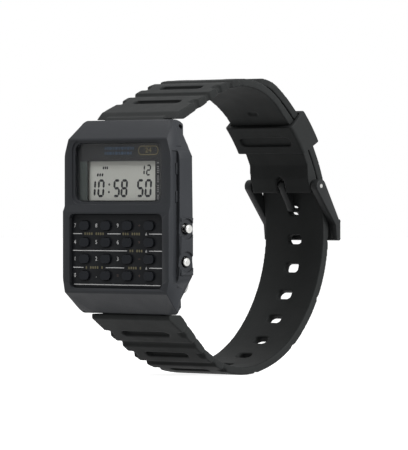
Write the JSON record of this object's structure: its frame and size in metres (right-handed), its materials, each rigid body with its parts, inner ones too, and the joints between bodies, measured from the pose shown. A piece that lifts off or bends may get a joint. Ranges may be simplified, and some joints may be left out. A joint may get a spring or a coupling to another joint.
{
  "type": "calculator watch",
  "caption": "Digital wristwatch with a calculator keypad under its display, side pushers and a ribbed resin strap buckled into a loop as if worn.",
  "frame": {"origin": "middle of the steel back's flat outer face, where the watch rests on the wrist", "axes": "+Z towards 12 o'clock, +Y out of the back towards the wrist (the display faces -Y), +X towards 3 o'clock"},
  "size_m": [0.0359, 0.0626, 0.0673],
  "materials": {
    "case_resin": "charcoal moulded resin, fine satin",
    "strap_resin": "dark soft resin, satin",
    "window": "clear acrylic",
    "mask_print": "black print with pale marks",
    "display_glass": "grey-green liquid crystal cell",
    "foil": "reflector film",
    "plate_print": "black plate with white lines and yellow marks",
    "key_resin": "dark key caps",
    "silicone": "grey silicone rubber",
    "steel": "satin stainless steel",
    "board": "green fibreglass laminate",
    "epoxy": "black potting blob",
    "holder_resin": "natural resin",
    "brass": "brass disc",
    "buckle_resin": "black hard resin"
  },
  "bodies": {
    "case": {"case_body": "case_resin", "case_back": "steel", "back_gasket": "silicone", "back_screws": "steel", "display_window": "window", "display_mask": "mask_print", "lcd_cell": "display_glass", "lcd_reflector": "foil", "zebra_connectors": "silicone", "keypad_plate": "plate_print", "keypad_membrane": "silicone", "circuit_board": "board", "chip_blob": "epoxy", "quartz_crystal": "steel", "cell_holder": "holder_resin", "button_cell": "steel", "cell_clip": "steel", "buzzer_disc": "brass", "buzzer_spring": "steel", "pusher_seals": "silicone", "pusher_spring_upper": "steel", "pusher_spring_lower": "steel", "spring_bar_upper": "steel", "spring_bar_lower": "steel"},
    "key_r1c1": {"key_r1c1": "key_resin"},
    "key_r1c2": {"key_r1c2": "key_resin"},
    "key_r1c3": {"key_r1c3": "key_resin"},
    "key_r1c4": {"key_r1c4": "key_resin"},
    "key_r2c1": {"key_r2c1": "key_resin"},
    "key_r2c2": {"key_r2c2": "key_resin"},
    "key_r2c3": {"key_r2c3": "key_resin"},
    "key_r2c4": {"key_r2c4": "key_resin"},
    "key_r3c1": {"key_r3c1": "key_resin"},
    "key_r3c2": {"key_r3c2": "key_resin"},
    "key_r3c3": {"key_r3c3": "key_resin"},
    "key_r3c4": {"key_r3c4": "key_resin"},
    "key_r4c1": {"key_r4c1": "key_resin"},
    "key_r4c2": {"key_r4c2": "key_resin"},
    "key_r4c3": {"key_r4c3": "key_resin"},
    "key_r4c4": {"key_r4c4": "key_resin"},
    "pusher_upper": {"pusher_upper": "steel", "pusher_clip_upper": "steel"},
    "pusher_lower": {"pusher_lower": "steel", "pusher_clip_lower": "steel"},
    "upper_strap": {"strap_upper": "strap_resin", "spring_bar_buckle": "steel"},
    "lower_strap": {"strap_lower": "strap_resin"},
    "buckle": {"buckle_frame": "buckle_resin"},
    "tongue": {"buckle_tongue": "steel"},
    "keeper": {"strap_keeper": "strap_resin"}
  },
  "joints": [
    {"name": "key_r1c1_press", "type": "slide", "parent": "case", "child": "key_r1c1", "axis": [0, 1, 0], "range_m": [0, 0.0004], "stiffness_N_per_m": 800, "springref_m": -0.0005, "deforming": ["keypad_membrane"]},
    {"name": "key_r1c2_press", "type": "slide", "parent": "case", "child": "key_r1c2", "axis": [0, 1, 0], "range_m": [0, 0.0004], "stiffness_N_per_m": 800, "springref_m": -0.0005, "deforming": ["keypad_membrane"]},
    {"name": "key_r1c3_press", "type": "slide", "parent": "case", "child": "key_r1c3", "axis": [0, 1, 0], "range_m": [0, 0.0004], "stiffness_N_per_m": 800, "springref_m": -0.0005, "deforming": ["keypad_membrane"]},
    {"name": "key_r1c4_press", "type": "slide", "parent": "case", "child": "key_r1c4", "axis": [0, 1, 0], "range_m": [0, 0.0004], "stiffness_N_per_m": 800, "springref_m": -0.0005, "deforming": ["keypad_membrane"]},
    {"name": "key_r2c1_press", "type": "slide", "parent": "case", "child": "key_r2c1", "axis": [0, 1, 0], "range_m": [0, 0.0004], "stiffness_N_per_m": 800, "springref_m": -0.0005, "deforming": ["keypad_membrane"]},
    {"name": "key_r2c2_press", "type": "slide", "parent": "case", "child": "key_r2c2", "axis": [0, 1, 0], "range_m": [0, 0.0004], "stiffness_N_per_m": 800, "springref_m": -0.0005, "deforming": ["keypad_membrane"]},
    {"name": "key_r2c3_press", "type": "slide", "parent": "case", "child": "key_r2c3", "axis": [0, 1, 0], "range_m": [0, 0.0004], "stiffness_N_per_m": 800, "springref_m": -0.0005, "deforming": ["keypad_membrane"]},
    {"name": "key_r2c4_press", "type": "slide", "parent": "case", "child": "key_r2c4", "axis": [0, 1, 0], "range_m": [0, 0.0004], "stiffness_N_per_m": 800, "springref_m": -0.0005, "deforming": ["keypad_membrane"]},
    {"name": "key_r3c1_press", "type": "slide", "parent": "case", "child": "key_r3c1", "axis": [0, 1, 0], "range_m": [0, 0.0004], "stiffness_N_per_m": 800, "springref_m": -0.0005, "deforming": ["keypad_membrane"]},
    {"name": "key_r3c2_press", "type": "slide", "parent": "case", "child": "key_r3c2", "axis": [0, 1, 0], "range_m": [0, 0.0004], "stiffness_N_per_m": 800, "springref_m": -0.0005, "deforming": ["keypad_membrane"]},
    {"name": "key_r3c3_press", "type": "slide", "parent": "case", "child": "key_r3c3", "axis": [0, 1, 0], "range_m": [0, 0.0004], "stiffness_N_per_m": 800, "springref_m": -0.0005, "deforming": ["keypad_membrane"]},
    {"name": "key_r3c4_press", "type": "slide", "parent": "case", "child": "key_r3c4", "axis": [0, 1, 0], "range_m": [0, 0.0004], "stiffness_N_per_m": 800, "springref_m": -0.0005, "deforming": ["keypad_membrane"]},
    {"name": "key_r4c1_press", "type": "slide", "parent": "case", "child": "key_r4c1", "axis": [0, 1, 0], "range_m": [0, 0.0004], "stiffness_N_per_m": 800, "springref_m": -0.0005, "deforming": ["keypad_membrane"]},
    {"name": "key_r4c2_press", "type": "slide", "parent": "case", "child": "key_r4c2", "axis": [0, 1, 0], "range_m": [0, 0.0004], "stiffness_N_per_m": 800, "springref_m": -0.0005, "deforming": ["keypad_membrane"]},
    {"name": "key_r4c3_press", "type": "slide", "parent": "case", "child": "key_r4c3", "axis": [0, 1, 0], "range_m": [0, 0.0004], "stiffness_N_per_m": 800, "springref_m": -0.0005, "deforming": ["keypad_membrane"]},
    {"name": "key_r4c4_press", "type": "slide", "parent": "case", "child": "key_r4c4", "axis": [0, 1, 0], "range_m": [0, 0.0004], "stiffness_N_per_m": 800, "springref_m": -0.0005, "deforming": ["keypad_membrane"]},
    {"name": "upper_pusher_press", "type": "slide", "parent": "case", "child": "pusher_upper", "axis": [-1, 0, 0], "range_m": [0, 0.0008], "stiffness_N_per_m": 900, "springref_m": -0.001, "deforming": ["pusher_spring_upper"]},
    {"name": "lower_pusher_press", "type": "slide", "parent": "case", "child": "pusher_lower", "axis": [-1, 0, 0], "range_m": [0, 0.0008], "stiffness_N_per_m": 900, "springref_m": -0.001, "deforming": ["pusher_spring_lower"]},
    {"name": "upper_strap_sway", "type": "hinge", "parent": "case", "child": "upper_strap", "pos_m": [0, -0.002, 0.02], "axis": [1, 0, 0], "range_deg": [-0.15, 0.15]},
    {"name": "lower_strap_sway", "type": "hinge", "parent": "case", "child": "lower_strap", "pos_m": [0, -0.002, -0.02], "axis": [1, 0, 0], "range_deg": [-0.15, 0.15]},
    {"name": "buckle_swing", "type": "hinge", "parent": "upper_strap", "child": "buckle", "pos_m": [0, 0.04608, 0.00704], "axis": [1, 0, 0], "range_deg": [-0.4, 1]},
    {"name": "tongue_swing", "type": "hinge", "parent": "upper_strap", "child": "tongue", "pos_m": [0, 0.04608, 0.00704], "axis": [1, 0, 0], "range_deg": [-0.6, 1]},
    {"name": "keeper_slide", "type": "hinge", "parent": "upper_strap", "child": "keeper", "pos_m": [0, 0.01009, -0.00366], "axis": [1, 0, 0], "range_deg": [-4, 8]}
  ],
  "couplings": [
    {"joint": "lower_strap_sway", "follows": "upper_strap_sway", "ratio": 1}
  ]
}
